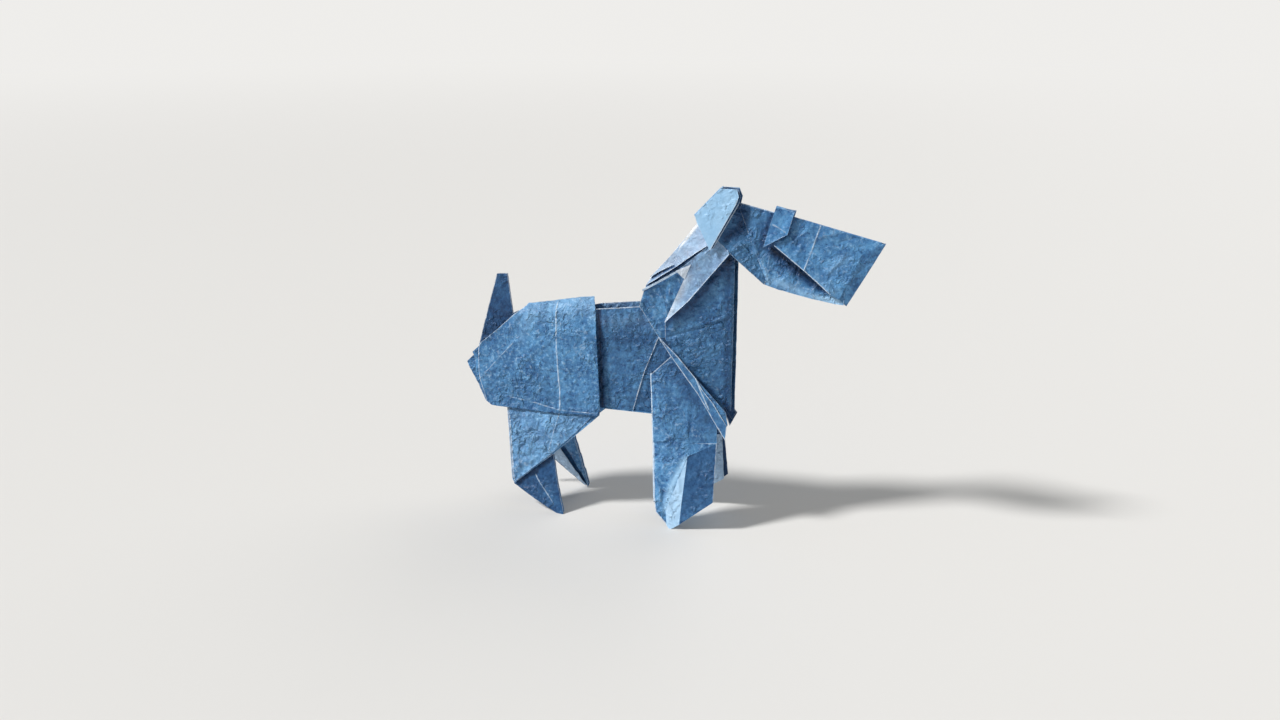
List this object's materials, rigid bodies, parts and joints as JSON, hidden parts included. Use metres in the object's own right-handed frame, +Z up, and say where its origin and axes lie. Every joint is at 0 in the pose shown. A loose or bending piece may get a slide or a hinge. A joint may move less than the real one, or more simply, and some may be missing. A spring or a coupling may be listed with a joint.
{
  "type": "origami dog",
  "caption": "Standing dog folded from one sheet of blue paper, with a long muzzle, upright tail, arched rump sleeve and splayed legs; a free-standing shelf or desk ornament.",
  "frame": {"origin": "on the floor under the middle of the dog's bounding box, midway between nose and rump and midway between the feet", "axes": "+X toward the nose, +Y to the dog's left (the far side in the picture), +Z up"},
  "size_m": [0.1059, 0.0188, 0.0846],
  "materials": {
    "blue_paper": "matt, crinkled, coloured paper with pale worn fold lines and cut edges"
  },
  "bodies": {
    "root": {"folded_paper_dog": "blue_paper"}
  },
  "joints": []
}
